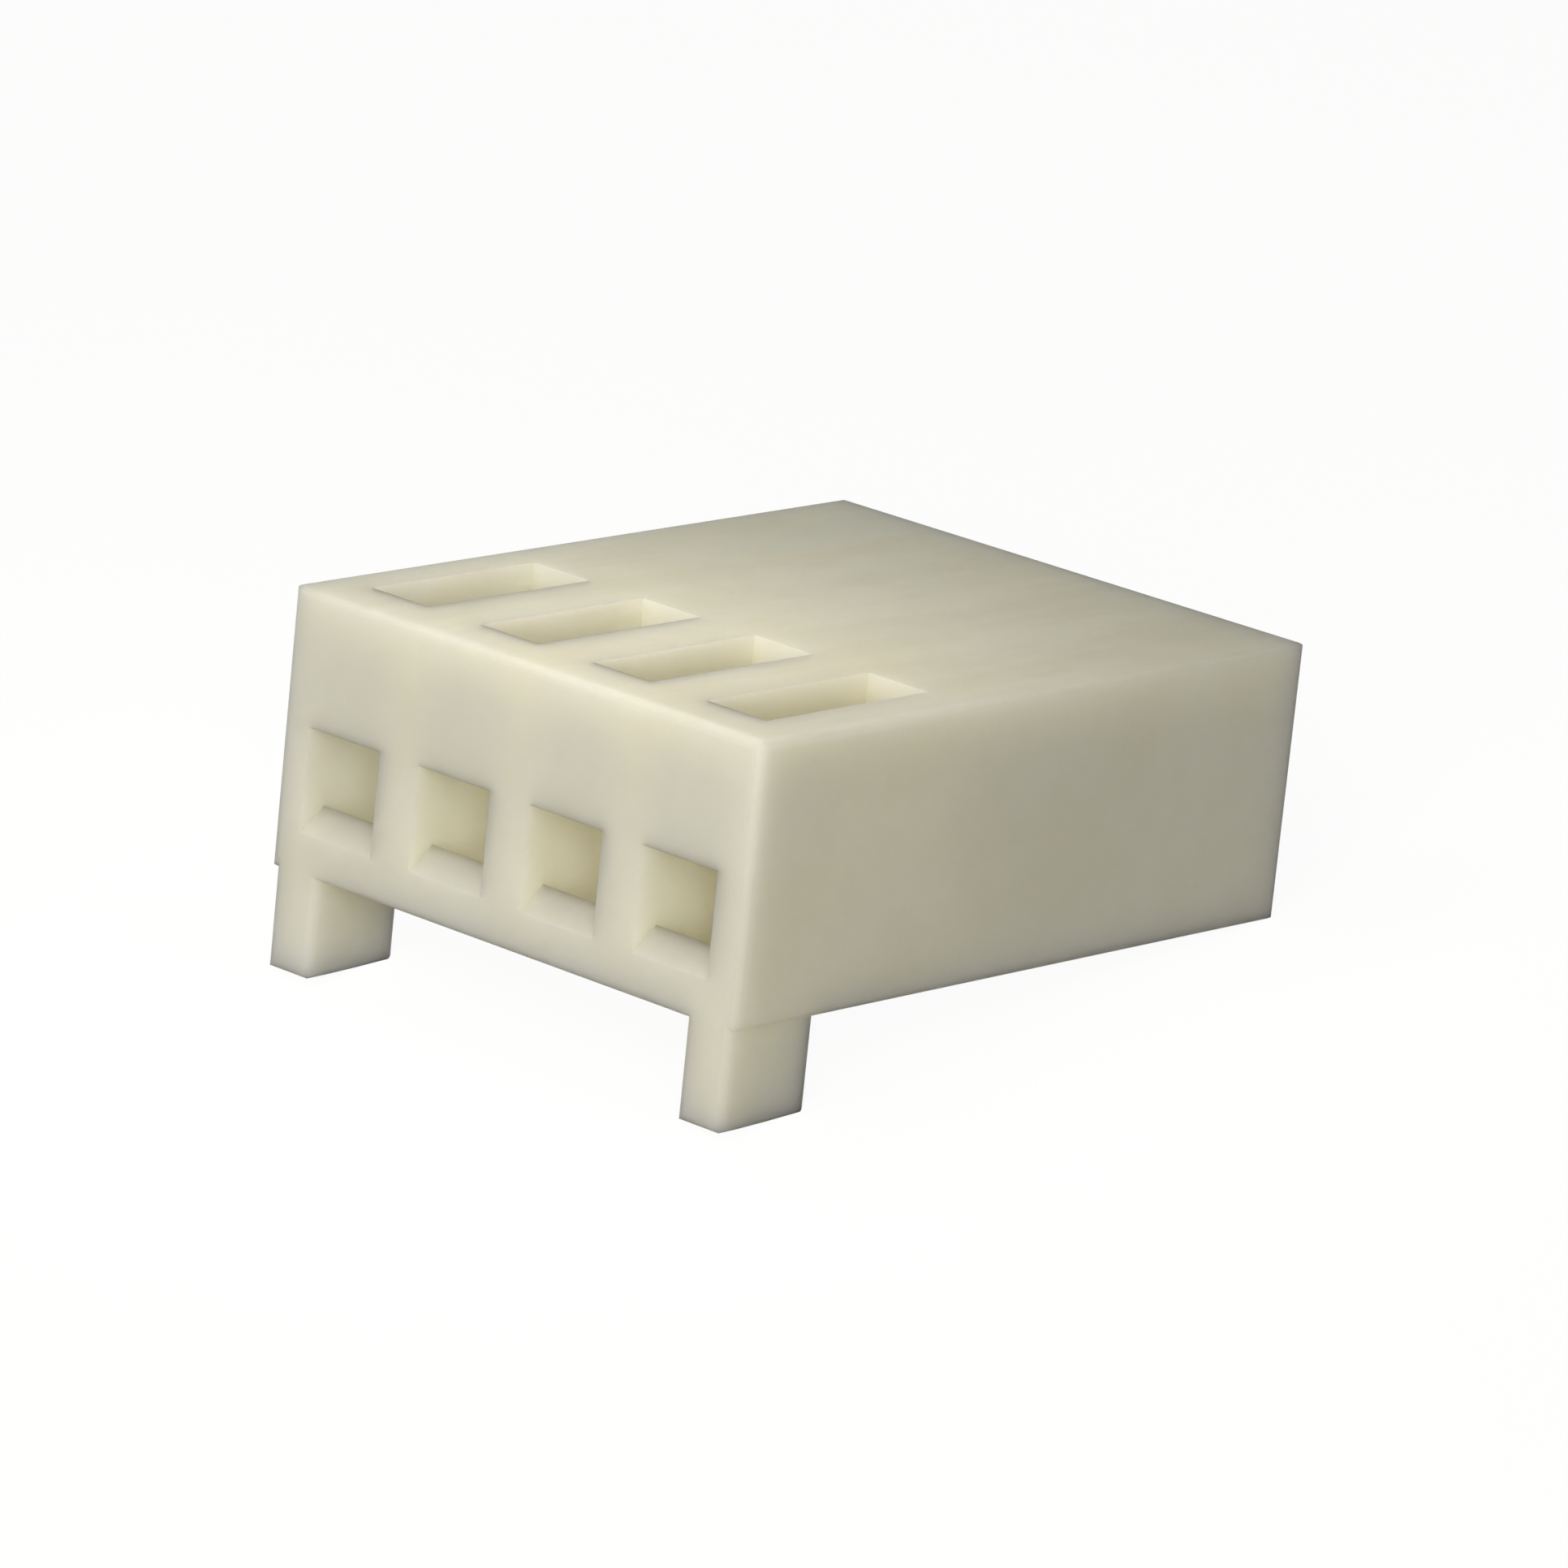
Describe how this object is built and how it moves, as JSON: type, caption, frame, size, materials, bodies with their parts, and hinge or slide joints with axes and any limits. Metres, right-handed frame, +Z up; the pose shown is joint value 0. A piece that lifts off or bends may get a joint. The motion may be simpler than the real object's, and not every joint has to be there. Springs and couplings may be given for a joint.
{
  "type": "wire to board connector housing",
  "caption": "One-piece moulded crimp terminal housing with a row of pin windows in its mating face, lance windows on top and two polarising legs below.",
  "frame": {"origin": "on the flat mating face, in the middle of the row of pins", "axes": "+X along the row, +Y from the mating face to the wire end, +Z up, away from the polarising legs"},
  "size_m": [0.0106, 0.0134, 0.0065],
  "materials": {
    "natural_nylon": "satin natural nylon, slightly translucent"
  },
  "bodies": {
    "root": {"housing": "natural_nylon"}
  },
  "joints": []
}
